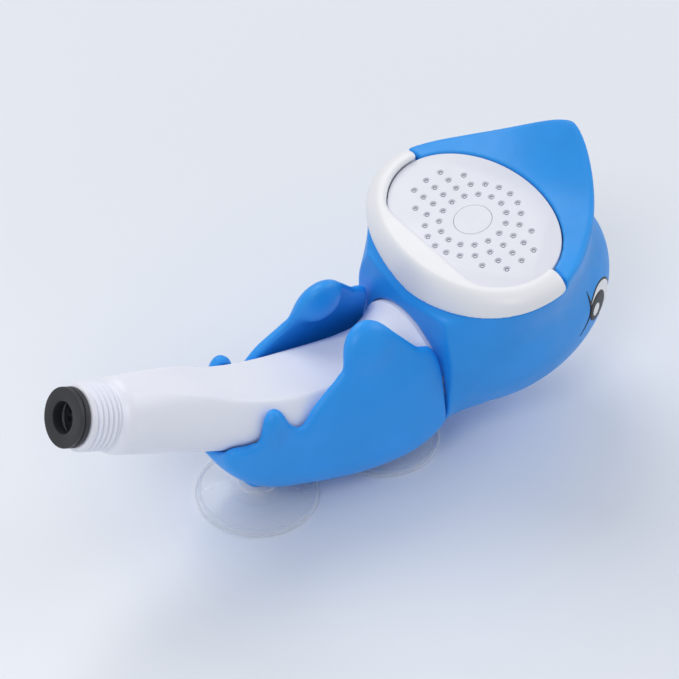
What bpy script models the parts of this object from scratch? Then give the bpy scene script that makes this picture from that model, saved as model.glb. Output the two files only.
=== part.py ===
"""Child's hand shower shaped like a dolphin, lying in its cradle on two suction cups.

The handset is the dolphin's belly and head: a white hollow handle with a G1/2 thread, a blue
head shell, a blue upper jaw, a white lower jaw and an oval spray plate in the open mouth. The
holder is the dolphin's back: a blue cradle with two soft flippers that close over the handle.

Lengths are in millimetres in this file, and MM turns them into Blender's metres where a mesh
is made. X runs from the water inlet to the head, Y is across, Z is up, and the whole object is
symmetric about the XZ plane. Stations along the object are measured from the rear cup's centre.
"""

import math

import bmesh
import bpy
from mathutils import Vector

MM = 0.001

# Driving dimensions, in millimetres and degrees
BOX_CENTRE_X = 31.3  # from the rear cup's centre to the middle of the object's length
GAP = 0.35  # clearance between touching pieces
SIDES = 28  # points round a large section

CUP_RADIUS = 20.4
CUP_SPACING = 50.4
CUP_NECK_RADIUS = 6.5
CUP_NECK_TOP = 6.9
BOSS_RADIUS = 7.5
SCREW_RADIUS = 1.6
SCREW_CLEARANCE = 2.1
SCREW_HEAD = 3.2

WALL = 2.4  # cradle wall
TROUGH_TOP = 33.0  # height where the flexible flippers start
SEAT_GAP = 0.5  # clearance between the trough and the handle
LIFT_ROOM = 60.0

INLET_FACE = (-70.2, 69.8)  # centre of the washer's outer face, x and z
INLET_PITCH = 24.2  # slope of the inlet axis
THREAD_RADIUS = 20.95 / 2  # G1/2 male thread
THREAD_ROOT = 18.6 / 2
THREAD_PITCH = 1.814
THREAD_TURNS = 6
WASHER_THICKNESS = 3.6
WASHER_RADIUS = 9.2
WASHER_BORE = 4.9
INLET_BORE = 6.6
HANDLE_WALL = 2.8

COLLAR = (58.3, 31.8)  # centre of the head's rear rim, x and z
COLLAR_RADIUS = 24.5
COLLAR_LEAN = 6.0  # the collar faces down and back by this angle
SPIGOT_RADIUS = 16.0
SPIGOT_BORE = 9.0
DUCT_RADIUS = 6.5
DUCT_BORE = 4.5

FACE = (81.98, 79.7)  # centre of the spray plate's face, x and z
FACE_TILT = 16.18  # the face looks up and back by this angle
HEAD_WALL = 2.2
PLATE = (23.2, 35.0)  # half length and half width of the oval plate
PLATE_THICKNESS = 3.2
JAW_BASE = -2.4  # height of the jaws' underside, in the face's frame
HEAD_BELLY = -34.0  # height of the head's widest section, in the face's frame
HEAD_DEPTH = 70.0  # from the face down to the lowest point of the head
NECK_DEPTH = 14.0  # length of the head's round neck
BULKHEAD = (3.2, 5.6)  # rear wall of the head, measured in from the collar's rim
NOZZLE_RINGS = (  # radius, nozzles in each group, angle step, centres of the groups
    (11.0, 15, 24.0, (90.0,)),
    (15.6, 20, 18.0, (90.0,)),
    (20.2, 5, 15.07, (90.0, -90.0)),
    (24.8, 3, 12.86, (90.0, -90.0)),
)
NOZZLE_RADIUS = 1.0
NOZZLE_BORE = 0.5
NOZZLE_HEIGHT = 0.7
SCREW_SEAT = -2.1  # floor of the plate's centre recess, under the cap
CAP_RADIUS = 6.25
CAP_SPAN = (-0.55, 0.15)  # underside and top of the centre cap, from the plate's face
MAT_THICKNESS = 1.4
MAT_TOP = -PLATE_THICKNESS - GAP
SEAL_THICKNESS = 1.2
TRAY_TOP = MAT_TOP - MAT_THICKNESS - GAP - SEAL_THICKNESS - GAP
TRAY_FLOOR = -16.0
TRAY_WALL = 2.6
TRAY_SHOULDER = -11.0  # below this the tray narrows to its floor
NUT_RADIUS = 20.5
NUT_HEIGHT = 3.65
NECK_SEAL = (7.75, 0.9)  # middle radius and half thickness of the O-ring
NECK_SEAL_PLACE = 7.0  # along the neck's axis
FLARE_RADIUS = 20.9  # widest end of the handle, inside the collar
SOCKET_DEPTH = 2.1  # how far the flare sits inside the collar


def clear_scene():
    for thing in list(bpy.data.objects):
        bpy.data.objects.remove(thing, do_unlink=True)
    for name in ("Dolphin hand shower", "Cutters"):
        collection = bpy.data.collections.new(name)
        bpy.context.scene.collection.children.link(collection)
    return bpy.data.collections["Dolphin hand shower"], bpy.data.collections["Cutters"]


PARTS, CUTTERS = clear_scene()


def material(name, colour, roughness, metallic=0.0, transmission=0.0):
    made = bpy.data.materials.new(name)
    made.use_nodes = True
    shader = made.node_tree.nodes["Principled BSDF"]
    shader.inputs["Base Color"].default_value = (*colour, 1.0)
    shader.inputs["Roughness"].default_value = roughness
    shader.inputs["Metallic"].default_value = metallic
    shader.inputs["Transmission Weight"].default_value = transmission
    return made


BLUE = material("blue plastic", (0.045, 0.29, 0.78), 0.35)
SOFT_BLUE = material("soft blue plastic", (0.05, 0.31, 0.8), 0.42)
WHITE = material("white plastic", (0.84, 0.85, 0.9), 0.3)
LIP_WHITE = material("warm white plastic", (0.88, 0.88, 0.89), 0.35)
RUBBER = material("black rubber", (0.02, 0.022, 0.026), 0.6)
SILICONE = material("pale silicone", (0.74, 0.75, 0.8), 0.5)
CLEAR = material("clear vinyl", (0.85, 0.88, 0.92), 0.1, transmission=0.9)
STEEL = material("stainless steel", (0.6, 0.6, 0.62), 0.3, metallic=1.0)


def empty(name, parent=None, x=0.0, z=0.0, pitch=0.0):
    """An axis to hang pieces on. Positive pitch raises its X axis."""
    made = bpy.data.objects.new(name, None)
    made.parent = parent
    made.location = (x * MM, 0, z * MM)
    made.rotation_euler = (0, -math.radians(pitch), 0)
    PARTS.objects.link(made)
    return made


def add_object(name, mesh, look, parent, collection=PARTS):
    made = bpy.data.objects.new(name, mesh)
    made.parent = parent
    if look:
        mesh.materials.append(look)
        mesh.shade_smooth()
        mesh.set_sharp_from_angle(angle=math.radians(35))
    collection.objects.link(made)
    return made


def as_cutter(thing):
    thing.hide_render = True
    thing.display_type = "WIRE"
    return thing


def boolean(target, other, operation="DIFFERENCE"):
    step = target.modifiers.new(operation.lower(), "BOOLEAN")
    step.operation = operation
    step.solver = "EXACT"
    step.object = other


def oval(half_x, half_y, count, power=2.0, back=None, back_power=None):
    """Points of a rounded outline, from +X round through +Y. Its back half may differ."""
    points = []
    for k in range(count):
        turn = 2 * math.pi * k / count
        c, s = math.cos(turn), math.sin(turn)
        front = c >= 0 or back is None
        reach = half_x if front else back
        bend = 2 / (power if front or back_power is None else back_power)
        x = math.copysign(abs(c) ** bend, c) * reach
        y = math.copysign(abs(s) ** bend, s) * half_y
        points.append((x, y))
    return points


def section(x, z, pitch, half_y, up, down, power=2.0, count=SIDES):
    """A rounded section across the object, centred at x and z. Positive pitch tips it forward."""
    lean = math.radians(pitch)
    points = []
    for across, along in oval(half_y, 1.0, count, power):
        rise = along * (up if along > 0 else down)
        points.append((x + rise * math.sin(lean), -across, z + rise * math.cos(lean)))
    return points


def loft(rings, closed=False, ends=True):
    """A skin through rings of equal length. A ring of one point is a tip."""
    made = bmesh.new()
    rows = [[made.verts.new(Vector(p) * MM) for p in ring] for ring in rings]
    spans = list(zip(rows, rows[1:]))
    if closed:
        spans.append((rows[-1], rows[0]))
    for first, second in spans:
        count = max(len(first), len(second))
        for k in range(count):
            corners = [
                first[k % len(first)],
                first[(k + 1) % len(first)],
                second[(k + 1) % len(second)],
                second[k % len(second)],
            ]
            unique = list(dict.fromkeys(corners))
            if len(unique) > 2:
                made.faces.new(unique)
    if ends and not closed:
        for row in (rows[0], rows[-1]):
            if len(row) > 2:
                made.faces.new(row)
    bmesh.ops.recalc_face_normals(made, faces=made.faces)
    mesh = bpy.data.meshes.new("loft")
    made.to_mesh(mesh)
    made.free()
    return mesh


def turned(name, profile, look, parent, steps=SIDES):
    """A piece turned about its own Z axis from (radius, height) points, outer side first."""
    mesh = bpy.data.meshes.new(name)
    points = [(r * MM, 0, z * MM) for r, z in profile]
    on_axis = profile[0][0] == 0 and profile[-1][0] == 0
    edges = [(k, k + 1) for k in range(len(points) - 1)]
    if not on_axis:
        edges.append((len(points) - 1, 0))
    mesh.from_pydata(points, edges, [])
    made = add_object(name, mesh, None, parent)
    mesh.materials.append(look)
    spin = made.modifiers.new("turn", "SCREW")
    spin.steps = spin.render_steps = steps
    spin.use_merge_vertices = True
    spin.merge_threshold = 0.00001
    spin.use_smooth_shade = True
    return made


def cylinder(name, radius, low, high, parent, count=16, x=0.0, y=0.0):
    """A cutter along its parent's Z axis."""
    ring = [(x + px, y + py) for px, py in oval(radius, radius, count)]
    mesh = loft([[(px, py, low) for px, py in ring], [(px, py, high) for px, py in ring]])
    return as_cutter(add_object(name, mesh, None, parent, CUTTERS))


def prism(outline, low, high):
    return loft([[(x, y, low) for x, y in outline], [(x, y, high) for x, y in outline]])


def blend(points, at):
    """The value at a place on the straight runs between (place, value) points."""
    if at <= points[0][0]:
        return points[0][1]
    for (x0, v0), (x1, v1) in zip(points, points[1:]):
        if at <= x1:
            t = (at - x0) / (x1 - x0)
            return v0 + (v1 - v0) * t
    return points[-1][1]


# ------------------------------------------------------------------ holder


def suction_cup(name, parent):
    """Clear vinyl cup: a flat rim on the floor, a shallow dome and a neck with a pilot hole."""
    r = CUP_RADIUS
    pilot = SCREW_RADIUS + 0.4
    profile = [
        (0.0, 3.4), (pilot, 3.4), (pilot, CUP_NECK_TOP), (CUP_NECK_RADIUS, CUP_NECK_TOP),
        (CUP_NECK_RADIUS, 5.2), (9.0, 4.3), (14.0, 2.9), (r - 1.5, 1.5), (r, 0.7), (r, 0.0),
        (r - 2.0, 0.0), (15.0, 1.2), (9.0, 2.0), (0.0, 2.2),
    ]
    return turned(name, profile, CLEAR, parent)


def pan_screw(name, parent, head_under, head_radius, head_height, length, radius):
    """Pan-head screw along Z with a cross recess."""
    profile = [
        (0, head_under + head_height),
        (head_radius * 0.6, head_under + head_height),
        (head_radius, head_under + head_height * 0.45),
        (head_radius, head_under),
        (radius, head_under),
        (radius, head_under - length + 1.0),
        (radius * 0.35, head_under - length),
        (0, head_under - length),
    ]
    made = turned(name, profile, STEEL, parent, steps=12)
    slot = head_radius * 0.62
    for turn, (half_x, half_y) in enumerate(((slot, 0.4), (0.4, slot))):
        outline = [(-half_x, -half_y), (half_x, -half_y), (half_x, half_y), (-half_x, half_y)]
        top = head_under + head_height
        mesh = prism(outline, top - 0.8, top + 1.0)
        cutter = as_cutter(add_object(f"{name} recess {turn}", mesh, None, parent, CUTTERS))
        boolean(made, cutter)
    return made


# Each pair is a station along the object and a size there.
CRADLE_BOTTOM = ((-24.5, 37), (-21.5, 31), (-17, 24.5), (-10, 17.0), (-2, 12.0), (8, 9.2),
                 (20, 7.2), (32, 6.6), (42, 7.0), (49, 8.4), (54, 10.6), (57, 12.6))
CRADLE_WIDTH = ((-24.5, 13.6), (-18, 15.6), (-10, 17.2), (0, 19.0), (12, 21.2), (24, 23.4),
                (36, 25.0), (46, 25.6), (53, 25.2), (57, 24.7))
LOBE_TOP = ((-24.5, 43.7), (-13, 40.6), (-10, 41.0), (-7.6, 48.5), (-4.8, 51.6), (-2, 49.6),
            (0.8, 43.5), (3.8, 41.0))
TROUGH_EDGE = ((-24.5, 13.4), (-10, 15.6), (-4.8, 16.2), (3.8, 18.6), (3.9, 19.6), (12, 20.6),
               (24, 22.4), (36, 23.8), (46, 24.4), (57, 23.8))
ARM_TOP = ((4.2, 41.2), (8.6, 45.5), (15, 50.5), (20, 54.5), (23, 57), (27, 64), (31.5, 68.5),
           (35.5, 66.5), (39, 63.5), (42.5, 60), (46, 55.5), (50, 52.5), (54, 50.5), (56.5, 46))
ARM_TOP_Y = ((4.2, 18.0), (8.6, 18.2), (15, 17.6), (20, 16.6), (23, 15.2), (27, 11.0),
             (31.5, 8.0), (35.5, 8.4), (39, 10.4), (42.5, 12.4), (46, 14.6), (50, 15.4),
             (54, 16.6), (56.5, 19.5))


def trough_section(x, count=11):
    """U-shaped section of the cradle at x: outer side one way, inner side back."""
    low, half = blend(CRADLE_BOTTOM, x), blend(CRADLE_WIDTH, x)
    top = blend(LOBE_TOP, x) if x < 3.85 else TROUGH_TOP
    edge = blend(TROUGH_EDGE, x)
    waist = low + (min(top, 40) - low) * 0.62
    outer, inner = [], []
    for k in range(count):
        turn = math.pi * k / (count - 1)
        c, s = math.cos(turn), math.sin(turn)
        bend = 2 / 2.5
        y = math.copysign(abs(c) ** bend, c)
        z = abs(s) ** bend
        outer.append((x, y * half, waist - z * (waist - low)))
        inner.append((x, y * (half - WALL), waist - z * (waist - low - WALL)))
    high = (waist + top) / 2
    bulge = (half + edge) / 2 + 0.5
    outer = [(x, edge, top), (x, bulge, high)] + outer + [(x, -bulge, high), (x, -edge, top)]
    inner = [(x, edge - WALL, top), (x, bulge - WALL, high)] + inner
    inner += [(x, WALL - bulge, high), (x, WALL - edge, top)]
    return outer + inner[::-1]


def saddle(name, x, parent):
    """A cross rib of the trough that carries the handle."""
    low, half = blend(CRADLE_BOTTOM, x), blend(CRADLE_WIDTH, x)
    rows = []
    for place in (x - 1.0, x + 1.0):
        rows.append([(place, -half + 1, TROUGH_TOP - 6), (place, -half + 4, low + 3.5),
                     (place, -half + 10, low + 1), (place, half - 10, low + 1),
                     (place, half - 4, low + 3.5), (place, half - 1, TROUGH_TOP - 6)])
    return as_cutter(add_object(name, loft(rows), None, parent, CUTTERS))


def handle_path(parent):
    """Everything the handle sweeps as it lifts out: its underside, grown, and the room above."""
    rings = []
    for x, z, pitch, half_y, _, down in HANDLE_SECTIONS[1:]:
        reach = half_y + SEAT_GAP
        lower = section(x, z, pitch, reach, reach, down + SEAT_GAP, count=24)[12:]
        top = z + LIFT_ROOM
        far = math.copysign(reach, lower[-1][1])
        rings.append([(x, -far, top)] + lower + [(x, far, top)])
    return as_cutter(add_object("handle path", loft(rings), None, parent, CUTTERS))


def cradle(parent):
    """The dolphin's back: a trough that rises round the handle, with a lobe each side."""
    places = (-24.5, -22, -18.5, -14, -10.5, -9, -7.6, -6.2, -4.8, -3.4, -2, -0.6, 0.8, 2.2, 3.8)
    places += (3.9, 9, 15, 22, 29, 36, 42, 47, 51, 54.5, 57)
    made = add_object("cradle", loft([trough_section(x) for x in places]), BLUE, parent)
    for number, x in enumerate((14.0, 40.0)):
        boolean(made, saddle(f"saddle {number}", x, parent), "UNION")
    boolean(made, handle_path(parent))
    for name, x in (("rear", 0.0), ("front", CUP_SPACING)):
        boss = cylinder(f"{name} boss", BOSS_RADIUS, CUP_NECK_TOP + GAP, boss_top(x), parent, 24, x)
        boolean(made, boss, "UNION")
        boolean(made, cylinder(f"{name} hole", SCREW_CLEARANCE, 5, 20, parent, 12, x))
        boolean(made, cylinder(f"{name} well", SCREW_HEAD + 0.6, boss_top(x), 22, parent, 16, x))
    return made


def boss_top(x):
    """Height inside the trough that a cup's screw head sits on."""
    return blend(CRADLE_BOTTOM, x) + WALL + 0.6


def flipper(name, side, parent):
    """Soft arm from the trough's edge up and inwards over the handle, with a rounded fin."""
    rings = []
    for x in (4.2, 6.4, 8.6, 12, 15, 17.5, 20, 23, 25, 27, 29, 31.5, 33.5, 35.5, 37.5, 40,
              42.5, 46, 50, 54, 56.8):
        half = blend(TROUGH_EDGE, x)
        top, reach = blend(ARM_TOP, x), blend(ARM_TOP_Y, x)
        base = TROUGH_TOP + GAP
        ring = []
        for step in (0, 0.3, 0.55, 0.78, 0.93):
            swell = math.sin(math.pi * step) * 1.6
            y = half + (reach - half) * step**2.2 + swell
            ring.append((x, y, base + (top - base) * step))
        ring.append((x, reach - 0.6, top))
        for step in (0.93, 0.78, 0.55, 0.3, 0):
            y = half - WALL + (reach + 0.2 - half) * step**2.2
            ring.append((x, y, base + (top - base) * step - 0.6 * step))
        rings.append([(px, side * py, pz) for px, py, pz in ring])
    return add_object(name, loft(rings), SOFT_BLUE, parent)


# ----------------------------------------------------------------- handset

# x, z, pitch, half width, up, down of the handle's sections after its thread
HANDLE_SECTIONS = (
    (-54.4, 62.7, 24.2, 11.9, 11.9, 11.9),
    (-43.0, 57.6, 23.5, 12.2, 12.2, 12.2),
    (-30.0, 52.0, 21.0, 12.7, 11.6, 12.7),
    (-18.0, 47.0, 18.0, 13.3, 9.8, 13.3),
    (-6.0, 42.7, 14.5, 14.2, 9.0, 14.0),
    (6.0, 39.2, 11.0, 15.2, 8.9, 15.0),
    (18.0, 36.5, 7.0, 15.9, 9.4, 15.9),
    (30.0, 34.4, 3.5, 16.2, 10.4, 16.2),
    (40.0, 33.2, 1.0, 16.3, 12.0, 16.3),
    (48.0, 32.5, -2.0, 17.0, 14.6, 17.0),
    (53.0, 32.2, -4.0, 18.6, 17.6, 18.6),
    (57.4, 31.9, -6.0, FLARE_RADIUS, FLARE_RADIUS, FLARE_RADIUS),
)


def along_inlet(distance):
    """The point on the inlet axis this far inside the washer's face."""
    slope = math.radians(INLET_PITCH)
    return (INLET_FACE[0] + distance * math.cos(slope), INLET_FACE[1] - distance * math.sin(slope))


def along_neck(distance):
    """The point on the neck's axis this far inside the collar's rim."""
    slope = math.radians(COLLAR_LEAN)
    return (COLLAR[0] + distance * math.cos(slope), COLLAR[1] + distance * math.sin(slope))


def thread_rings():
    """Ridges of the G1/2 thread, as rings, from its end to the handle's shoulder."""
    rings, at = [], WASHER_THICKNESS + GAP
    stops = [(at, THREAD_ROOT - 0.3), (at + 0.5, THREAD_ROOT)]
    at += 0.5
    for _ in range(THREAD_TURNS):
        stops.append((at + THREAD_PITCH * 0.45, THREAD_RADIUS))
        stops.append((at + THREAD_PITCH, THREAD_ROOT))
        at += THREAD_PITCH
    stops += [(at + 0.8, THREAD_ROOT), (at + 1.2, 11.2)]
    for distance, radius in stops:
        x, z = along_inlet(distance)
        rings.append(section(x, z, INLET_PITCH, radius, radius, radius))
    return rings


def handle_body(parent):
    """White handle: thread, hollow body and the spigot that enters the head."""
    outer = thread_rings()
    outer += [section(x, z, p, w, u, d) for x, z, p, w, u, d in HANDLE_SECTIONS]
    steps = ((1.6, FLARE_RADIUS), (1.8, SPIGOT_RADIUS), (11.0, SPIGOT_RADIUS))
    outer += [section(*along_neck(s), -COLLAR_LEAN, r, r, r) for s, r in steps]
    inner = [section(*along_neck(s), -COLLAR_LEAN, *[SPIGOT_BORE] * 3) for s in (11.0, -2.0)]
    for x, z, p, w, u, d in HANDLE_SECTIONS[-2:0:-1]:
        inner.append(section(x, z, p, *[min(v, 17) - HANDLE_WALL for v in (w, u, d)]))
    for distance in (19.0, WASHER_THICKNESS + GAP):
        x, z = along_inlet(distance)
        inner.append(section(x, z, INLET_PITCH, *[INLET_BORE] * 3))
    return add_object("handle_body", loft(outer + inner, closed=True), WHITE, parent)


def inlet_pieces(parent):
    """The washer on the end of the thread, and the screen held in the bore behind it."""
    t = WASHER_THICKNESS
    washer = [
        (WASHER_RADIUS - 0.3, 0), (WASHER_RADIUS, -0.3), (WASHER_RADIUS, -1.4),
        (WASHER_RADIUS - 0.5, -1.7), (WASHER_RADIUS - 0.5, -2.1), (WASHER_RADIUS, -2.4),
        (WASHER_RADIUS, -t + 0.2), (WASHER_RADIUS - 0.2, -t), (WASHER_BORE, -t), (WASHER_BORE, 0),
    ]
    turned("inlet_washer", washer, RUBBER, parent, steps=SIDES)
    radius = INLET_BORE - GAP
    screen = add_object("inlet_screen", prism(oval(radius, radius, 24), -t - 3.2, -t - 1.7),
                        WHITE, parent)
    spots = [(0.0, 0.0)]
    spots += [(3.6 * math.cos(k * math.pi / 4), 3.6 * math.sin(k * math.pi / 4)) for k in range(8)]
    for number, (x, y) in enumerate(spots):
        hole = cylinder(f"screen hole {number}", 1.0, -t - 5, -t, parent, 8, x=x, y=y)
        boolean(screen, hole)


def head_level(z):
    """Front reach, back reach, half width and corner powers of the head at a height."""
    if z > HEAD_BELLY:
        t = max(0.0, (z - JAW_BASE) / (HEAD_BELLY - JAW_BASE))
        swell = math.sin(t * math.pi / 2)
        throat = math.sin(math.pi * min(1.0, t * 1.25))
        half = 42.6 - 7.6 * t - 2.6 * throat
        front, back = 44 + 2 * swell - 3.5 * throat, 29 + 15 * swell**1.3
        return front, back, half, 1.6 + 0.4 * t, 2.2 - 0.2 * t
    u = (HEAD_BELLY - z) / (HEAD_DEPTH + HEAD_BELLY)
    s = math.sqrt(max(0.0, 1 - u * u))
    return -12 + 58 * s, 12 + 32 * s, 35 * s, 2.0, 2.0


def head_skin(inset, lift=0.0):
    """The head as a closed solid: rings from its rim down to a tip, moved inwards by inset."""
    bottom = -HEAD_DEPTH + inset
    rings = []
    for level in (0, 0.1, 0.22, 0.34, 0.46, 0.58, 0.69, 0.79, 0.87, 0.93, 0.97, 0.992):
        z = JAW_BASE - GAP + level * (bottom - JAW_BASE + GAP)
        front, back, half, power, back_power = head_level(z * HEAD_DEPTH / -bottom)
        shrink = 1 - inset / 38
        ring = []
        for x, y in oval(max(front, 0.2), half, SIDES, power, max(back, 0.2), back_power):
            drop = 0 if x > 0 else 8.5 * max(0.0, 1 - abs(y) / half) * (1 - level) ** 4
            ring.append((x * shrink, y * shrink, z - drop))
        rings.append(ring)
    if lift:
        rings.insert(0, [(x, y, lift) for x, y, _ in rings[0]])
    return loft([[(0, 0, lift or -13)]] + rings + [[(-12, 0, bottom)]], ends=False)


def head_shell(neck, face):
    """Blue head: a bowl under the face, closed behind by a bulkhead that carries the collar."""
    made = add_object("head_shell", head_skin(0), BLUE, face)
    wide = oval(80, 80, 4)
    behind = loft([[(s, y, z) for y, z in wide] for s in (-60, BULKHEAD[0])])
    boolean(made, as_cutter(add_object("behind head", behind, None, neck, CUTTERS)))
    r = COLLAR_RADIUS
    steps = ((0, r - 0.6), (0.5, r), (NECK_DEPTH, r), (NECK_DEPTH + 8, r - 4))
    collar = loft([section(s, 0, 0, q, q, q) for s, q in steps])
    boolean(made, as_cutter(add_object("collar", collar, None, neck, CUTTERS)), "UNION")
    hollow = as_cutter(add_object("head hollow", head_skin(HEAD_WALL, 9), None, face, CUTTERS))
    steps = ((0, r - HEAD_WALL), (NECK_DEPTH, r - HEAD_WALL), (NECK_DEPTH + 8, r - 4 - HEAD_WALL))
    room = loft([section(s, 0, 0, q, q, q) for s, q in steps])
    boolean(hollow, as_cutter(add_object("neck room", room, None, neck, CUTTERS)), "UNION")
    wall = loft([[(s, y, z) for y, z in wide] for s in (-60, BULKHEAD[1])])
    boolean(hollow, as_cutter(add_object("bulkhead", wall, None, neck, CUTTERS)))
    boolean(made, hollow)
    wide_bore, bore = FLARE_RADIUS + 0.4, SPIGOT_RADIUS + 0.4
    steps = ((-2, wide_bore), (SOCKET_DEPTH, wide_bore), (SOCKET_DEPTH + 0.01, bore), (12, bore))
    bore = loft([section(s, 0, 0, q, q, q) for s, q in steps])
    boolean(made, as_cutter(add_object("neck bore", bore, None, neck, CUTTERS)))
    return made


def neck_pieces(neck):
    """Ring nut that clamps the handle to the bulkhead, and the O-ring round the duct."""
    inner, outer = SPIGOT_RADIUS + GAP, NUT_RADIUS
    low = BULKHEAD[1] + GAP
    high = low + NUT_HEIGHT
    nut = [(outer - 0.5, high), (outer, high - 0.5), (outer, low), (inner, low), (inner, high)]
    made = turned("neck_nut", nut, WHITE, neck)
    for number in range(4):
        turn = math.pi / 2 * number + math.pi / 4
        notch = cylinder(f"nut notch {number}", 1.6, low - 1, high + 1, neck, 8,
                         outer * math.cos(turn), outer * math.sin(turn))
        boolean(made, notch)
    middle, thick = NECK_SEAL
    ring = [(middle + x, NECK_SEAL_PLACE + z) for x, z in oval(thick, thick, 8)][::-1]
    turned("neck_seal", ring, RUBBER, neck, steps=20)


def rim_height(y):
    """Height of the upper jaw's free edge: level at the corners, rising to the beak's tip."""
    return -1.0 + 13.0 * max(0.0, 1 - (abs(y) / 42) ** 1.5) ** 2.6


def upper_jaw(face):
    """Blue beak: a visor from the plate's edge up to the rim, closed on its outer side."""
    rings = []
    count = 29
    for k in range(count):
        turn = math.radians(-87 + 174 * k / (count - 1))
        c, s = math.cos(turn), math.sin(turn)
        near = ((PLATE[0] + GAP) * c, (PLATE[1] + GAP) * s)
        across = math.copysign(abs(s) ** 1.25, s)
        far = (44.3 * (1 - abs(across) ** 1.5) ** 0.66, across * 42.6)
        top = rim_height(far[1])
        middle = [n + (q - n) * 0.55 for n, q in zip(near, far)]
        sag = 0.12 * (top + 1)
        rings.append([
            (near[0], near[1], JAW_BASE),
            (near[0], near[1], 0.2),
            (middle[0], middle[1], 0.2 + (top - 0.2) * 0.5 - sag),
            (far[0] - 0.8 * c, far[1] - 0.8 * s, top),
            (far[0], far[1], top - 0.5),
            (far[0] + 0.2 * c, far[1] + 0.2 * s, JAW_BASE),
        ])
    return add_object("upper_jaw", loft(rings), BLUE, face)


def lip_outer_height(y):
    return -1.9 - 8.5 * max(0.0, 1 - abs(y) / 42)


def lower_jaw(face):
    """White lower lip: a soft roll round the back of the plate that covers its edge."""
    rings = []
    count = 31
    for k in range(count):
        turn = math.radians(94 + 172 * k / (count - 1))
        c, s = math.cos(turn), math.sin(turn)
        over = (max((PLATE[0] - 0.6) * c, -17.5), (PLATE[1] - 0.6) * s)
        beside = ((PLATE[0] + GAP) * c, (PLATE[1] + GAP) * s)
        bend = 2 / 2.2
        far = (-29.0 * abs(c) ** bend, math.copysign(abs(s) ** bend, s) * 43.0)
        edge = lip_outer_height(far[1])
        crest = [b + (q - b) * 0.35 for b, q in zip(beside, far)]
        fall = [b + (q - b) * 0.75 for b, q in zip(beside, far)]
        rings.append([
            (over[0], over[1], GAP),
            (over[0], over[1], 1.0),
            ((over[0] + crest[0]) / 2, (over[1] + crest[1]) / 2, 1.8),
            (crest[0], crest[1], 1.6),
            (fall[0], fall[1], 0.4 + 0.4 * edge),
            (far[0], far[1], edge + 0.3),
            (far[0], far[1], edge - 0.45),
            (beside[0] * 1.06, beside[1] * 1.02, edge - 0.45),
            (beside[0], beside[1], -0.6),
            (beside[0], beside[1], GAP),
        ])
    return add_object("lower_jaw", loft(rings), LIP_WHITE, face)


def nozzle_spots():
    """Places of the nozzles on the plate, ring by ring. Groups are centred across the plate."""
    for radius, number, step, centres in NOZZLE_RINGS:
        for centre in centres:
            for k in range(number):
                offset = k * step if len(centres) == 1 else (k - (number - 1) / 2) * step
                turn = math.radians(centre + offset)
                yield radius * math.cos(turn), radius * math.sin(turn)


def many_cones(low_radius, high_radius, low, high, count=5):
    """One mesh of cones at every nozzle."""
    made = bmesh.new()
    for x, y in nozzle_spots():
        rows = []
        for radius, z in ((low_radius, low), (high_radius, high)):
            ring = oval(radius, radius, count)
            rows.append([made.verts.new(Vector((x + px, y + py, z)) * MM) for px, py in ring])
        for k in range(count):
            n = (k + 1) % count
            made.faces.new([rows[0][k], rows[0][n], rows[1][n], rows[1][k]])
        made.faces.new(rows[0])
        made.faces.new(rows[1])
    bmesh.ops.recalc_face_normals(made, faces=made.faces)
    mesh = bpy.data.meshes.new("cones")
    made.to_mesh(mesh)
    made.free()
    return mesh


def face_cutter(name, mesh, face):
    return as_cutter(add_object(name, mesh, None, face, CUTTERS))


def spray_plate(face):
    made = add_object("spray_plate", prism(oval(*PLATE, 48), -PLATE_THICKNESS, 0), WHITE, face)
    holes = many_cones(NOZZLE_RADIUS + GAP, NOZZLE_RADIUS + GAP, -PLATE_THICKNESS - 1, 1)
    boolean(made, face_cutter("plate holes", holes, face))
    boolean(made, cylinder("cap seat", CAP_RADIUS + GAP, -0.9, 1, face, 24))
    boolean(made, cylinder("screw seat", 3.4, SCREW_SEAT, 1, face, 16))
    boolean(made, cylinder("plate screw hole", SCREW_CLEARANCE, -5, 1, face, 12))
    return made


def nozzle_mat(face):
    top = MAT_TOP
    outline = oval(PLATE[0] - 1, PLATE[1] - 1, 40)
    made = add_object("nozzle_mat", prism(outline, top - MAT_THICKNESS, top), SILICONE, face)
    nipples = many_cones(NOZZLE_RADIUS, NOZZLE_RADIUS * 0.85, top - 0.7, NOZZLE_HEIGHT)
    boolean(made, face_cutter("mat nipples", nipples, face), "UNION")
    bores = many_cones(NOZZLE_BORE * 1.3, NOZZLE_BORE, top - 3, 2, count=3)
    boolean(made, face_cutter("mat bores", bores, face))
    boolean(made, cylinder("mat screw hole", 3.2, -9, 1, face, 12))
    return made


def duct_mesh(radius, extra):
    """Bent pipe from the tray's floor back to the neck, on one smooth curve."""
    start = Vector((-4, 0, TRAY_FLOOR + 1 + extra))
    bends = [Vector((-5, 0, -34)), neck_in_face(20)]
    end = neck_in_face(4.5 - extra)
    rings, count = [], 9
    for k in range(count):
        t = k / (count - 1)
        a, b, c, d = (1 - t) ** 3, 3 * t * (1 - t) ** 2, 3 * t * t * (1 - t), t**3
        centre = start * a + bends[0] * b + bends[1] * c + end * d
        slope = (bends[0] - start) * (1 - t) ** 2 + (bends[1] - bends[0]) * 2 * t * (1 - t)
        slope += (end - bends[1]) * t * t
        normal = Vector((-slope.z, 0, slope.x)).normalized()
        ring = oval(radius, radius, 16)
        rings.append([centre + normal * px + Vector((0, py, 0)) for px, py in ring])
    return loft(rings)


def neck_in_face(distance):
    """A point of the neck's axis, in the face's frame."""
    x, z = along_neck(distance)
    tilt = math.radians(FACE_TILT)
    dx, dz = x - FACE[0], z - FACE[1]
    return Vector((dx * math.cos(tilt) + dz * math.sin(tilt), 0,
                   dz * math.cos(tilt) - dx * math.sin(tilt)))


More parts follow.
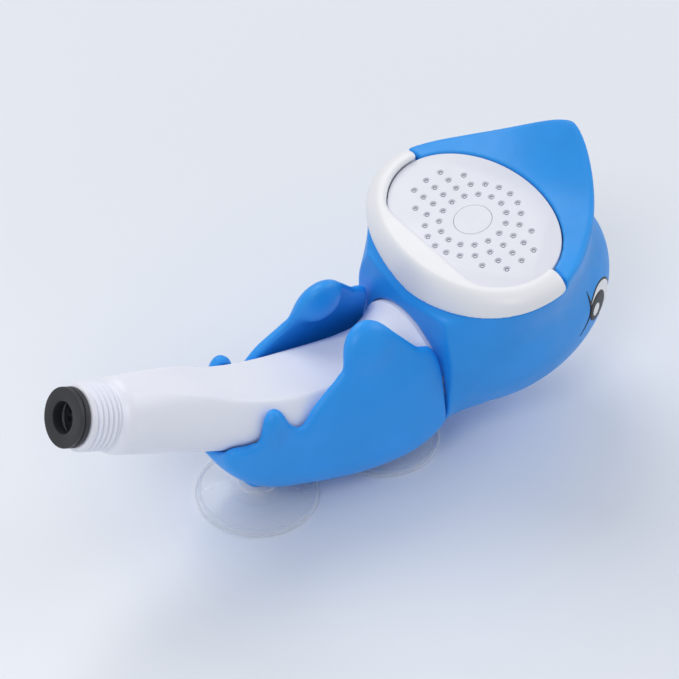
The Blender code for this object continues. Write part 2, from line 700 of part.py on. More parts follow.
def water_chamber(face):
    """Tray behind the nozzle mat with a bent duct that plugs into the handle."""
    outer = oval(PLATE[0] - 1, PLATE[1] - 1, 32)
    inner = oval(PLATE[0] - 1 - TRAY_WALL, PLATE[1] - 1 - TRAY_WALL, 32)
    small = [(x * 0.8, y * 0.8) for x, y in outer]
    rings = [
        [(x, y, TRAY_TOP) for x, y in outer],
        [(x, y, TRAY_SHOULDER) for x, y in outer],
        [(x, y, TRAY_FLOOR - 2) for x, y in small],
    ]
    made = add_object("water_chamber", loft(rings), WHITE, face)
    boolean(made, face_cutter("duct skin", duct_mesh(DUCT_RADIUS, 0), face), "UNION")
    room = loft([
        [(x, y, TRAY_TOP + 1) for x, y in inner],
        [(x, y, TRAY_SHOULDER) for x, y in inner],
        [(x * 0.8, y * 0.8, TRAY_FLOOR) for x, y in inner],
    ])
    boolean(made, face_cutter("tray room", room, face))
    boolean(made, face_cutter("duct room", duct_mesh(DUCT_BORE, 3), face))
    boss = prism(oval(4.4, 4.4, 16), TRAY_FLOOR - 1, TRAY_TOP)
    boolean(made, face_cutter("boss", boss, face), "UNION")
    boolean(made, cylinder("boss hole", SCREW_RADIUS + 0.3, TRAY_FLOOR + 3, 1, face, 12))
    return made


def chamber_pieces(face):
    """Centre screw with its cap, and the gasket between the mat and the tray."""
    pan_screw("plate_screw", face, SCREW_SEAT + GAP, 3.0, 1.0, 11, SCREW_RADIUS)
    outline = oval(CAP_RADIUS, CAP_RADIUS, 24)
    add_object("centre_cap", prism(outline, *CAP_SPAN), WHITE, face)
    low, high = TRAY_TOP + GAP, TRAY_TOP + GAP + SEAL_THICKNESS
    seal = add_object("chamber_seal", prism(oval(PLATE[0] - 1, PLATE[1] - 1, 40), low, high),
                      RUBBER, face)
    opening = prism(oval(PLATE[0] - 3.4, PLATE[1] - 3.4, 40), low - 1, high + 1)
    boolean(seal, face_cutter("seal opening", opening, face))


def build():
    frame = empty("sprayer_frame", x=-BOX_CENTRE_X)
    holder = empty("holder", frame)
    for name, x in (("rear", 0.0), ("front", CUP_SPACING)):
        at = empty(f"{name}_cup_axis", holder, x=x)
        suction_cup(f"{name}_suction_cup", at)
        seat = boss_top(x) + GAP
        pan_screw(f"{name}_cup_screw", at, seat, SCREW_HEAD, 1.8, seat - 4.0, SCREW_RADIUS)
    cradle(holder)
    flipper("left_flipper", 1, holder)
    flipper("right_flipper", -1, holder)
    handset = empty("handset", frame)
    handle_body(handset)
    inlet = empty("inlet_axis", handset, *INLET_FACE)
    inlet.rotation_euler = (0, math.radians(INLET_PITCH - 90), 0)
    inlet_pieces(inlet)
    collar = empty("collar_axis", handset, *COLLAR, COLLAR_LEAN)
    neck = empty("neck_axis", handset, *COLLAR)
    neck.rotation_euler = (0, math.radians(90 - COLLAR_LEAN), 0)
    neck_pieces(neck)
    face = empty("face_axis", handset, *FACE, FACE_TILT)
    head_shell(collar, face)
    upper_jaw(face)
    lower_jaw(face)
    spray_plate(face)
    nozzle_mat(face)
    water_chamber(face)
    chamber_pieces(face)


build()
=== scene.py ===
"""Looks of the dolphin hand shower and its suction-cup cradle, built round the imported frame.

The organic shells are written as signed distances in millimetres and turned into meshes, the round
pieces are lathed, and each surface has its own procedural material. Lengths here are millimetres
from the rear cup's centre, as in the part's own design, and to_world() turns them into metres.
"""

import math

import bmesh
import bpy
import numpy as np
import openvdb
from mathutils import Matrix, Vector
from mathutils.bvhtree import BVHTree


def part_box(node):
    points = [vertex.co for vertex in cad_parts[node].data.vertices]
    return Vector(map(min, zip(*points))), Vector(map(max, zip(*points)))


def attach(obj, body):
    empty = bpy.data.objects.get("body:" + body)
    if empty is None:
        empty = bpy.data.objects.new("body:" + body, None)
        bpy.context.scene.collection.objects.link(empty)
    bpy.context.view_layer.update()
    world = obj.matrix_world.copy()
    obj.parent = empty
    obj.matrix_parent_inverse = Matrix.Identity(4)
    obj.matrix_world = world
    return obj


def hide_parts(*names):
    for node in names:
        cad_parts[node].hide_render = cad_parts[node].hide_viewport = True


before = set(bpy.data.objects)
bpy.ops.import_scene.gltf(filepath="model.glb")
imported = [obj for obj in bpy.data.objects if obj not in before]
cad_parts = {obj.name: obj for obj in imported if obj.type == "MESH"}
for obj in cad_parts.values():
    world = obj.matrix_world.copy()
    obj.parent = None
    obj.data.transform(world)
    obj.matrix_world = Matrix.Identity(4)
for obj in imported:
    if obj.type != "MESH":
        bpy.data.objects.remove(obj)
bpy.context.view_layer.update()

MM = 0.001
REAR_CUP = (Vector(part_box("rear_suction_cup")[0]) + Vector(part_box("rear_suction_cup")[1])) / 2
FRONT_CUP = (Vector(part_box("front_suction_cup")[0]) + Vector(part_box("front_suction_cup")[1])) / 2
CUP_SPACING = (FRONT_CUP.x - REAR_CUP.x) / MM
ROUND = 96  # points round a turned or lofted piece

# Driving sizes, in millimetres and degrees, as in the CAD
INLET_FACE = (-70.2, 69.8)
INLET_PITCH = 24.2
THREAD_RADIUS = 20.95 / 2
THREAD_ROOT = 18.5 / 2
THREAD_PITCH = 1.814
WASHER_THICKNESS = 3.6
WASHER_RADIUS = 9.1
WASHER_BORE = 4.9
INLET_BORE = 6.6
COLLAR = (58.3, 31.8)
COLLAR_RADIUS = 24.5
COLLAR_LEAN = 6.0
FACE = (81.98, 79.7)
FACE_TILT = 16.18
PLATE = (23.2, 35.0)
SCREW_HOLE = 2.1
HANDLE_WALL = 2.8
HEAD_WALL = 2.2
HANDLE_SECTIONS = (  # x, z, pitch, half width, up, down
    (-54.4, 62.7, 24.2, 11.9, 11.9, 11.9),
    (-43.0, 57.6, 23.5, 12.2, 12.2, 12.2),
    (-30.0, 52.0, 21.0, 12.7, 11.6, 12.7),
    (-18.0, 47.0, 18.0, 13.3, 9.8, 13.3),
    (-6.0, 42.7, 14.5, 14.2, 9.0, 14.0),
    (6.0, 39.2, 11.0, 15.2, 8.9, 15.0),
    (18.0, 36.5, 7.0, 15.9, 9.4, 15.9),
    (30.0, 34.4, 3.5, 16.2, 10.4, 16.2),
    (40.0, 33.2, 1.0, 16.3, 12.0, 16.3),
    (48.0, 32.5, -2.0, 17.0, 14.6, 17.0),
    (53.0, 32.2, -4.0, 18.6, 17.6, 18.6),
    (57.4, 31.9, -6.0, 20.9, 20.9, 20.9),
)


# ------------------------------------------------------------ small helpers


def to_world(points):
    """Metres in the frame, from millimetres measured from the rear cup's centre."""
    return np.asarray(points, float) * MM + np.array([REAR_CUP.x, 0, 0])


def curve(points):
    """A smooth function through (place, value) points, level beyond its ends."""
    xs, ys = np.array(points, float).T
    slopes = np.gradient(ys, xs)

    def at(x):
        x = np.clip(x, xs[0], xs[-1])
        i = np.clip(np.searchsorted(xs, x, side="right") - 1, 0, len(xs) - 2)
        w = xs[i + 1] - xs[i]
        t = (x - xs[i]) / w
        start = (2 * t**3 - 3 * t**2 + 1) * ys[i] + (t**3 - 2 * t**2 + t) * w * slopes[i]
        return start + (3 * t**2 - 2 * t**3) * ys[i + 1] + (t**3 - t**2) * w * slopes[i + 1]

    return at


def join(a, b, soft):
    """The union of two fields, rounded over a distance."""
    h = np.clip(0.5 + 0.5 * (b - a) / soft, 0, 1)
    return b * (1 - h) + a * h - soft * h * (1 - h)


def cut(a, b, soft):
    """What two fields share, rounded over a distance."""
    return -join(-a, -b, soft)


def ellipsoid(x, y, z, sizes):
    """Distance from an ellipsoid at the origin, near enough close to its surface."""
    k0 = np.sqrt((x / sizes[0]) ** 2 + (y / sizes[1]) ** 2 + (z / sizes[2]) ** 2)
    k1 = np.sqrt((x / sizes[0] ** 2) ** 2 + (y / sizes[1] ** 2) ** 2 + (z / sizes[2] ** 2) ** 2)
    return k0 * (k0 - 1) / np.maximum(k1, 1e-6)


def turn(x, z, centre, pitch):
    """Coordinates along and above an axis through centre, pitched up by an angle."""
    c, s = math.cos(math.radians(pitch)), math.sin(math.radians(pitch))
    dx, dz = x - centre[0], z - centre[1]
    return dx * c + dz * s, dz * c - dx * s


def untilt(points, centre, pitch):
    """Design coordinates of points given along, across and above a pitched axis."""
    c, s = math.cos(math.radians(pitch)), math.sin(math.radians(pitch))
    p = np.asarray(points, float)
    return np.stack([centre[0] + p[..., 0] * c - p[..., 2] * s, p[..., 1],
                     centre[1] + p[..., 0] * s + p[..., 2] * c], -1)


def face_outwards(mesh):
    """Turns every face of a closed mesh outwards."""
    made = bmesh.new()
    made.from_mesh(mesh)
    bmesh.ops.recalc_face_normals(made, faces=made.faces)
    made.to_mesh(mesh)
    made.free()


def finish_piece(name, mesh, look, body, nodes):
    """Puts a mesh in the scene with its material and its body, and hides the CAD nodes it stands
    for.
    """
    made = bpy.data.objects.new(name, mesh)
    bpy.context.scene.collection.objects.link(made)
    mesh.materials.append(look)
    mesh.shade_smooth()
    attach(made, body)
    if nodes:
        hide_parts(*nodes)
    return made


def piece(name, points, faces, look, body, nodes=(), sharp=None):
    """A mesh from design points and faces. Edges above the sharp angle, in degrees, stay crisp."""
    mesh = bpy.data.meshes.new(name)
    mesh.from_pydata(to_world(points).tolist(), [], [list(map(int, f)) for f in faces])
    face_outwards(mesh)
    piece_object = finish_piece(name, mesh, look, body, nodes)
    if sharp:
        mesh.set_sharp_from_angle(angle=math.radians(sharp))
    return piece_object


def relax(points, faces, times):
    """Evens out the small steps that a grid leaves in a mesh."""
    edges = np.concatenate([faces[:, [k, (k + 1) % 4]] for k in range(4)])
    a = np.concatenate([edges[:, 0], edges[:, 1]])
    b = np.concatenate([edges[:, 1], edges[:, 0]])
    count = np.bincount(a, minlength=len(points))[:, None]
    for _ in range(times):
        near = np.stack([np.bincount(a, points[b, k], len(points)) for k in range(3)], 1) / count
        points = points + 0.5 * (near - points)
    return points


BAND = 3  # steps on each side of a surface where its field is kept
LEAST_SLOPE = 0.3


def solid(field, low, high, step, smooth=4):
    """Points and faces of the surface where a signed-distance field is zero."""
    axes = [np.arange(lo, hi + step, step, dtype=np.float32) for lo, hi in zip(low, high)]
    x, y, z = np.meshgrid(*axes, indexing="ij")
    values = field(x, y, z)
    slope = np.sqrt(sum(g**2 for g in np.gradient(values, step)))
    reach = BAND * step
    values = np.clip(values / np.maximum(slope, LEAST_SLOPE), -reach, reach).astype(np.float32)
    grid = openvdb.FloatGrid(reach)
    grid.copyFromArray(values)
    grid.transform = openvdb.createLinearTransform(voxelSize=step)
    points, faces = grid.convertToQuads(0.0)
    points = relax(np.asarray(points, float), np.asarray(faces), smooth)
    return points + np.array(low), np.asarray(faces)


def rings_to_faces(rows, count, closed=False):
    """Faces of a skin through rows of equal rings, with flat ends unless it closes on itself."""
    faces = []
    for r in range(rows if closed else rows - 1):
        a, b = r * count, ((r + 1) % rows) * count
        for k in range(count):
            n = (k + 1) % count
            faces.append((a + k, a + n, b + n, b + k))
    if not closed:
        faces += [tuple(range(count)), tuple(range((rows - 1) * count, rows * count))]
    return faces


def lathe(profile, place=np.asarray, count=ROUND):
    """A closed profile of (radius, height) points turned round Z, then put in place."""
    angles = np.arange(count) * 2 * math.pi / count
    rows = [np.stack([r * np.cos(angles), r * np.sin(angles), np.full(count, h)], -1)
            for r, h in profile]
    return place(np.concatenate(rows)), rings_to_faces(len(rows), count, closed=True)


def rounded(profile, radius, steps=4):
    """A closed profile with its corners rounded."""
    points = [np.array(p, float) for p in profile]
    made = []
    for before, here, after in zip(points[-1:] + points[:-1], points, points[1:] + points[:1]):
        back, on = before - here, after - here
        reach = min(radius, np.linalg.norm(back) * 0.45, np.linalg.norm(on) * 0.45)
        start = here + back / np.linalg.norm(back) * reach
        end = here + on / np.linalg.norm(on) * reach
        for k in range(steps + 1):
            t = k / steps
            made.append(tuple(start * (1 - t) ** 2 + here * 2 * t * (1 - t) + end * t * t))
    return made


def on_face(points):
    """Design coordinates of points given along, across and above the spray face."""
    return untilt(points, FACE, FACE_TILT)


# ---------------------------------------------------------------- materials


DRIFT, GLOSS, GRAIN = 34, 160, 900  # scales of the plastics' noise, in cycles per metre
GRAIN_DEPTH = 0.0002  # metres


def nodes_of(name):
    """A new material with its node tree and its shader."""
    made = bpy.data.materials.new(name)
    made.use_nodes = True
    tree = made.node_tree
    return made, tree, tree.nodes["Principled BSDF"]


def noise(tree, scale, detail=3.0):
    """Noise over the object's own coordinates, in cycles per metre."""
    where = tree.nodes.new("ShaderNodeTexCoord")
    made = tree.nodes.new("ShaderNodeTexNoise")
    made.inputs["Scale"].default_value = scale
    made.inputs["Detail"].default_value = detail
    tree.links.new(where.outputs["Object"], made.inputs["Vector"])
    return made.outputs["Fac"]


def spread(tree, value, low, high):
    """Noise stretched over a range of values."""
    made = tree.nodes.new("ShaderNodeMapRange")
    made.inputs["From Min"].default_value = 0.3
    made.inputs["From Max"].default_value = 0.7
    made.inputs["To Min"].default_value = low
    made.inputs["To Max"].default_value = high
    tree.links.new(value, made.inputs["Value"])
    return made.outputs["Result"]


def mix(tree, factor, first, second):
    """A colour between two, by a factor."""
    made = tree.nodes.new("ShaderNodeMix")
    made.data_type = "RGBA"
    made.inputs[6].default_value = (*first, 1)
    made.inputs[7].default_value = (*second, 1)
    tree.links.new(factor, made.inputs[0])
    return made.outputs[2]


def moulded(name, colour, roughness, shift=0.06, grain=0.02, gleam=0.5):
    """Moulded plastic: slow colour drift, uneven gloss and a fine grain."""
    made, tree, shader = nodes_of(name)
    drift = noise(tree, DRIFT)
    paler = [min(1, c * (1 + shift) + shift * 0.04) for c in colour]
    deeper = [c * (1 - shift) for c in colour]
    tree.links.new(mix(tree, spread(tree, drift, 0, 1), deeper, paler), shader.inputs["Base Color"])
    gloss = spread(tree, noise(tree, GLOSS), roughness - 0.04, roughness + 0.05)
    tree.links.new(gloss, shader.inputs["Roughness"])
    bump = tree.nodes.new("ShaderNodeBump")
    bump.inputs["Strength"].default_value = grain
    bump.inputs["Distance"].default_value = GRAIN_DEPTH
    tree.links.new(noise(tree, GRAIN, 2), bump.inputs["Height"])
    tree.links.new(bump.outputs["Normal"], shader.inputs["Normal"])
    shader.inputs["Specular IOR Level"].default_value = gleam
    return made


def clear_vinyl():
    """Clear soft plastic: almost invisible face on, milky where it is seen at a slant."""
    made, tree, shader = nodes_of("clear vinyl")
    tint = mix(tree, noise(tree, 60), (0.88, 0.9, 0.94), (0.95, 0.96, 0.98))
    tree.links.new(tint, shader.inputs["Base Color"])
    gloss = spread(tree, noise(tree, 300), 0.05, 0.14)
    tree.links.new(gloss, shader.inputs["Roughness"])
    facing = tree.nodes.new("ShaderNodeLayerWeight")
    facing.inputs["Blend"].default_value = 0.35
    cover = tree.nodes.new("ShaderNodeMapRange")
    cover.inputs["To Min"].default_value = 0.06
    cover.inputs["To Max"].default_value = 1.0
    tree.links.new(facing.outputs["Facing"], cover.inputs["Value"])
    tree.links.new(cover.outputs["Result"], shader.inputs["Alpha"])
    return made


def brushed_steel():
    """Dull bare steel for the screws."""
    made, tree, shader = nodes_of("plain steel")
    tint = mix(tree, noise(tree, 400), (0.5, 0.5, 0.52), (0.66, 0.66, 0.68))
    tree.links.new(tint, shader.inputs["Base Color"])
    tree.links.new(spread(tree, noise(tree, 900), 0.22, 0.4), shader.inputs["Roughness"])
    shader.inputs["Metallic"].default_value = 1.0
    return made


BLUE = moulded("blue plastic", (0.018, 0.322, 0.88), 0.44, gleam=0.42)
SOFT_BLUE = moulded("soft blue plastic", (0.017, 0.338, 0.94), 0.42, gleam=0.45)
WHITE = moulded("white plastic", (0.9, 0.91, 0.985), 0.33, shift=0.012, grain=0.004)
PLATE_WHITE = moulded("plate plastic", (0.8, 0.81, 0.88), 0.34, shift=0.015)
LIP_WHITE = moulded("warm white plastic", (0.9, 0.905, 0.93), 0.38, shift=0.015, grain=0.008)
# Silicone: its own pale grey, darkened as painted shade so the nozzle holes and the sheet at their
# bottom read dark.
SILICONE_WITH_PAINTED_SHADE = moulded("pale silicone", (0.3, 0.315, 0.36), 0.5, shift=0.04)
RUBBER = moulded("black rubber", (0.016, 0.018, 0.022), 0.5, shift=0.3, grain=0.1)
INK = moulded("black ink", (0.008, 0.009, 0.014), 0.5, shift=0.2)
EYE_WHITE = moulded("white ink", (0.85, 0.86, 0.88), 0.35, shift=0.02)
CLEAR = clear_vinyl()
STEEL = brushed_steel()


# ------------------------------------------------------------------- holder

BOTTOM = curve(((-24.5, 37), (-21.5, 31), (-17, 24.5), (-10, 17.0), (-2, 12.0), (8, 9.2),
                (20, 7.4), (32, 6.9), (42, 7.2), (49, 8.4), (54, 10.6), (59, 14.0)))
WIDTH = curve(((-24.5, 13.6), (-18, 15.6), (-10, 17.2), (0, 19.0), (12, 21.2), (24, 23.4),
               (36, 25.0), (46, 25.6), (53, 25.2), (59, 24.4)))
LEAN = curve(((14, 1), (20, 1), (33, 0.96), (45, 0.865), (52, 0.775), (57, 0.715), (62, 0.65),
              (68, 0.56), (74, 0.46)))
LEAN_SHARE = curve(((-24.5, 0), (-12, 0.1), (-5, 0.45), (4, 0.8), (12, 1), (59, 1)))
EDGE = curve(((-24.5, 40.6), (-17, 40.4), (-12.6, 40.2), (-10.2, 42.2), (-8.4, 47.4), (-5.4, 50.9),
              (-2.6, 49.2), (0.2, 44.8), (2.2, 42.4), (4.2, 41.2), (6.0, 42.6), (8.6, 45.5),
              (15, 50.5), (19.4, 53.6), (21.4, 55.8), (22.6, 59.6), (24.6, 63.6), (27.8, 66.6),
              (31.4, 67.6), (35.4, 66.2), (39, 63.6), (43, 59.8), (46.4, 56.2), (48.6, 54.0),
              (51, 53.1), (53.6, 51.8), (55.6, 48.4), (57.5, 43.0)))
SHELL = 2.8
SEAT_GAP = 0.6
LIFT_ROOM = 6  # extra room above the handle
WAIST = 0.52  # height of the wall's widest line, as a share of the way to its edge
WAIST_TOP = 40
PUFFS = (  # middle and reach of each swelling of the wall, as (x, z), then its height
    ((30.5, 60.0), (7.0, 8.0), 1.6),
    ((49.5, 47.0), (6.0, 7.0), 1.2),
    ((-5.0, 45.5), (3.4, 6.5), 1.2),
    ((28, 34), (22, 14), 1.0),
)
EDGE_ROUNDING = 2.6
FIN, FIN_SIZES = (31.6, 13.6, 58.6), (7.7, 4.7, 8.2)  # a flipper's rounded tip
FIN_LEAN = 17  # towards the handle
FIN_INSET = 0.5
LOBE, LOBE_SIZES = (-5.2, 14.6, 43.8), (4.0, 3.4, 6.9)  # the small lobe near the tail
RIBS, RIB_TOP = (14.0, 40.0), 27
BOSS_RADIUS = 5.2
BOSS_FOOT = 7.25
BOSS_DEPTH = 3
SCREW_HEAD_ROOM = 3.8
SCREW_TOP = 22
COLLAR_GAP = 1.0
TAIL_FILL, TAIL_END = 9, -21.3
HOLDER_STEP = 0.55
HANDLE = [curve([(row[0], row[k]) for row in HANDLE_SECTIONS]) for k in range(1, 6)]


def handle_room(x, y, z):
    """Below zero inside the handle's space, with a gap all round."""
    middle, pitch, across, up, down = [column(x) for column in HANDLE]
    tall = np.where(z > middle, up + LIFT_ROOM, down) + SEAT_GAP
    rise = (z - middle) * np.cos(np.radians(pitch)) / tall
    return (np.sqrt((y / (across + SEAT_GAP)) ** 2 + rise**2) - 1) * across


def swell(x, z, middle, reach):
    """1 at a place on the wall, fading smoothly to 0 round it."""
    return np.exp(-(((x - middle[0]) / reach[0]) ** 2) - ((z - middle[1]) / reach[1]) ** 2)


def trough_wall(x, side, z):
    """The holder's wall before its flippers: a trough with a swollen skin and two ribs."""
    low, edge = BOTTOM(x), EDGE(x)
    waist = low + WAIST * (np.minimum(edge, WAIST_TOP) - low)
    half = WIDTH(x) * (1 - LEAN_SHARE(x) * (1 - LEAN(z)))
    under = np.maximum(waist - z, 0) / (waist - low)
    power = 2.4 + 0.5 * np.clip((x - 5) / 25, 0, 1)
    outer = ((((side / half) ** power + under**power) ** (1 / power)) - 1) * half * 0.9
    puff = sum(height * swell(x, z, middle, reach) for middle, reach, height in PUFFS)
    fill = TAIL_FILL * np.clip((-11 - x) / 6, 0, 1)
    shell = np.maximum(outer - puff * 0.75, -(outer + SHELL + puff * 0.4 + fill))
    for at in RIBS:
        rib = np.maximum(np.maximum(np.abs(x - at) - 1.0, outer + 1), z - RIB_TOP)
        shell = join(shell, rib, 0.8)
    slope = EDGE(x + 0.5) - EDGE(x - 0.5)
    return cut(shell, (z - edge) / np.sqrt(1 + slope**2), EDGE_ROUNDING)


def flipper_tip(x, side, z):
    """The rounded tip of a flipper, leaning over the handle."""
    lean = math.radians(FIN_LEAN)
    across, above = side - FIN[1], z - FIN[2]
    up = above * math.cos(lean) - across * math.sin(lean)
    out = across * math.cos(lean) + above * math.sin(lean)
    return ellipsoid(x - FIN[0], out + FIN_INSET, up, FIN_SIZES)


def with_boss(shell, ring, z, low):
    """Adds a boss for a cup's screw and drills it, with room for the screw's head."""
    boss = np.maximum(np.maximum(ring - BOSS_RADIUS, BOSS_FOOT - z), z - low - BOSS_DEPTH)
    shell = join(shell, boss, 1.2)
    shell = np.maximum(shell, -np.maximum(ring - SCREW_HOLE, z - SCREW_TOP))
    head_room = np.maximum(np.maximum(ring - SCREW_HEAD_ROOM, low + BOSS_DEPTH - z), z - SCREW_TOP)
    return np.maximum(shell, -head_room)


def holder_field(x, y, z):
    """The whole holder: trough, flippers, lobes and screw bosses, clear of the handset."""
    side = np.abs(y)
    shell = join(trough_wall(x, side, z), flipper_tip(x, side, z), 2.4)
    shell = join(shell, ellipsoid(x - LOBE[0], side - LOBE[1], z - LOBE[2], LOBE_SIZES), 2.0)
    shell = cut(shell, -handle_room(x, y, z), 0.8)
    for at in (0.0, CUP_SPACING):
        shell = with_boss(shell, np.sqrt((x - at) ** 2 + y**2), z, BOTTOM(at))
    along, _ = turn(x, z, COLLAR, COLLAR_LEAN)
    shell = cut(shell, along + COLLAR_GAP, 1.2)
    return cut(shell, TAIL_END - x, 3.0)


def build_holder():
    """The holder in one piece."""
    points, faces = solid(holder_field, (-26, -28, 5), (60, 28, 72), HOLDER_STEP)
    piece("cradle_shell", points, faces, SOFT_BLUE, "holder",
          ("cradle", "left_flipper", "right_flipper"))


CUP_PROFILE = (  # radius and height, from the middle over the top and back underneath
    (0.01, 3.4), (2.0, 3.4), (2.0, 6.9), (6.5, 6.9), (6.5, 5.4), (9.0, 4.2), (14.0, 2.9),
    (18.4, 1.7), (18.9, 2.0), (19.8, 2.0), (20.4, 1.5), (20.4, 0.0), (19.2, 0.0), (18.4, 0.6),
    (14.0, 1.8), (9.0, 2.6), (0.01, 2.7),
)


def build_cups():
    """Clear cups: a thin dome with a rounded rim, a moulded step and a short neck."""
    profile = rounded(CUP_PROFILE, 0.45)
    for name, at in (("rear", 0.0), ("front", CUP_SPACING)):
        points, faces = lathe(profile, lambda p, at=at: p + np.array([at, 0, 0]), 2 * ROUND)
        piece(f"{name}_clear_cup", points, faces, CLEAR, "holder",
              (f"{name}_suction_cup",))


# ------------------------------------------------------------------- handle

THREAD_START = WASHER_THICKNESS + 0.35
THREAD_LENGTH = 6 * THREAD_PITCH
THREAD_STEP = 0.14
# The shoulder beyond the thread, then the flare's rim and the spigot, as (depth, radius)
SHOULDER = ((0.2, 9.4), (0.5, 9.7), (0.8, 10.25), (1.2, 10.8), (1.7, 11.25), (2.3, 11.6))
SPIGOT = ((-0.3, 20.9), (1.2, 20.9), (1.6, 20.6), (1.8, 16.0), (10.6, 16.0), (11.0, 15.6),
          (11.0, 9.0), (-2.0, 9.0))
HANDLE_START = -53.5
HANDLE_ROWS, BORE_ROWS = 84, 24
BORE_REACH = (50, -44)
BORE_END = 19.0  # depth where the round inlet bore ends
PANEL_SHARE = curve(((-52, 0), (-36, 0.6), (-24, 1), (24, 1), (36, 0.5), (46, 0)))
PANEL_RISE = 0.3  # how much of the section's top the flat panel cuts away


def along_axis(points, centre, pitch):
    """Design coordinates of points given as (above, across, depth) on a pitched axis."""
    p = np.asarray(points, float)
    return untilt(np.stack([p[..., 2], p[..., 1], p[..., 0]], -1), centre, pitch)


def along_inlet(points):
    """Points on the inlet's axis, with depths behind the washer's face."""
    return along_axis(points, INLET_FACE, -INLET_PITCH)


def along_neck(points):
    """Points on the neck's axis, with depths from the collar's rim into the head."""
    return along_axis(points, COLLAR, COLLAR_LEAN)


def ring_on(place, radius, depth):
    """A ring round an axis. It starts at the top and runs the same way round as handle_ring(),
    because a skin between rings that run opposite ways crosses itself and turns inside out."""
    angles = np.arange(ROUND) * 2 * math.pi / ROUND
    flat = [radius * np.cos(angles), radius * np.sin(angles), np.full(ROUND, float(depth))]
    return place(np.stack(flat, -1))


def thread_rings():
    """A right-handed helical thread, fading out at both ends, then the handle's shoulder."""
    angles = np.arange(ROUND) / ROUND
    rows = [ring_on(along_inlet, THREAD_ROOT - 0.9, THREAD_START)]
    for depth in np.arange(0.3, THREAD_LENGTH, THREAD_STEP):
        wave = 0.5 - 0.5 * np.cos(2 * math.pi * ((depth / THREAD_PITCH + angles) % 1))
        fade = min(1.0, depth / 1.5, (THREAD_LENGTH - depth) / 1.2)
        radius = THREAD_ROOT + (THREAD_RADIUS - THREAD_ROOT) * wave**1.3 * fade
        rows.append(ring_on(along_inlet, radius, THREAD_START + depth))
    for depth, radius in SHOULDER:
        rows.append(ring_on(along_inlet, radius, THREAD_START + THREAD_LENGTH + depth))
    return rows


def soft_top(high, limit, soft=0.5):
    """Levels off heights above a limit with a narrow rounded crease."""
    return join(high, np.full(high.shape, limit), soft)


def handle_ring(x, inset=0.0):
    """The handle's section at x, moved inwards by an inset, with a flat panel on top."""
    z, pitch, across, up, down = [float(column(x)) for column in HANDLE]
    angles = np.arange(ROUND) * 2 * math.pi / ROUND
    rise, side = np.cos(angles), np.sin(angles)
    tall = up * (1 + PANEL_RISE * float(PANEL_SHARE(x)))
    high = soft_top(np.where(rise > 0, rise * tall, rise * down), up)
    shrink = 1 - inset / min(across, up, down)
    side, high = side * across * shrink, high * shrink
    lean = math.radians(-pitch)
    return np.stack([x - high * math.sin(lean), side, z + high * math.cos(lean)], -1)


def build_handle():
    """The handle's skin, from the thread's end to the spigot and back through the bore."""
    rows = thread_rings()
    rows += [handle_ring(float(x))
             for x in np.linspace(HANDLE_START, HANDLE_SECTIONS[-1][0], HANDLE_ROWS)]
    rows += [ring_on(along_neck, radius, depth) for depth, radius in SPIGOT]
    rows += [handle_ring(float(x), HANDLE_WALL) for x in np.linspace(*BORE_REACH, BORE_ROWS)]
    rows += [ring_on(along_inlet, INLET_BORE, depth) for depth in (BORE_END, THREAD_START)]
    piece("handle_skin", np.concatenate(rows), rings_to_faces(len(rows), ROUND, closed=True),
          WHITE, "handset", ("handle_body",), sharp=35)


# --------------------------------------------------------------------- head

HEAD_CENTRE = (89.9, 0.0, 47.0)
BELLY_SIZES, BELLY_PITCH = (46.55, 34.9, 37.4), 4.8
# Reach of the mouth's wall before and behind the face's centre, and half its width, by height
MOUTH_FRONT = curve(((-45, 34), (-30, 36), (-20, 37.5), (-12, 39), (-4, 41.2), (2, 42.6),
                     (8, 43.8), (12, 44.5)))
MOUTH_BACK = curve(((-45, 42), (-34, 43), (-24, 39.5), (-14, 34), (-6, 30), (0, 29), (12, 29)))
MOUTH_HALF = curve(((-45, 26), (-34, 31), (-22, 35.5), (-12, 39.2), (-5, 41.6), (0, 42.5),
                    (12, 42.8)))
MOUTH_SCALE, MOUTH_FLOOR = 38, -46
RIM_HALF = 42  # half width over which the visor's rim rises
RIM_LOW, RIM_RISE = -0.4, 13.38
VISOR_FOOT = 0.2
VISOR_START = 4.9  # how far along the face the visor begins
GUM_TOP, GUM_DROP = -3.5, 8.5
NECK_DEPTH = 14.0
BULKHEAD = 5.6
SPIGOT_ROOM, SPIGOT_DEPTH = 16.4, 8
FLARE_ROOM, SOCKET_DEPTH = 21.3, 2.1
HEAD_STEP, LIP_STEP = 0.52, 0.42


def rim_height(y):
    """Height of the visor's rim above the face: low at the sides, with a peak in the middle."""
    return RIM_LOW + RIM_RISE * np.clip(1 - (np.abs(y) / RIM_HALF) ** 1.5, 0, 1) ** 2.7


def gum_drop(y):
    """How far the gum and the lip's underside fall below the face, most in the middle."""
    return GUM_DROP * np.clip(1 - np.abs(y) / RIM_HALF, 0, 1)


def mouth_norm(along, y, z):
    """1 on the mouth's outer wall at a height, less inside."""
    front = along > 0
    reach = np.where(front, MOUTH_FRONT(z), MOUTH_BACK(z))
    power = np.where(front, 1.62, 2.2)
    ratio = (np.abs(along) / reach) ** power + (np.abs(y) / MOUTH_HALF(z)) ** power
    return np.maximum(ratio, 1e-9) ** (1 / power)


def plate_norm(along, y):
    """1 just outside the spray plate's edge, less inside."""
    return np.sqrt((along / (PLATE[0] + 0.35)) ** 2 + (y / (PLATE[1] + 0.35)) ** 2)


def between(along, y, z):
    """0 at the plate's edge and 1 at the mouth's outer wall, and the place across out there."""
    inner = 1 / np.maximum(plate_norm(along, y), 1e-6)
    outer = 1 / np.maximum(mouth_norm(along, y, z), 1e-6)
    return (1 - inner) / np.maximum(outer - inner, 1e-3), y * outer


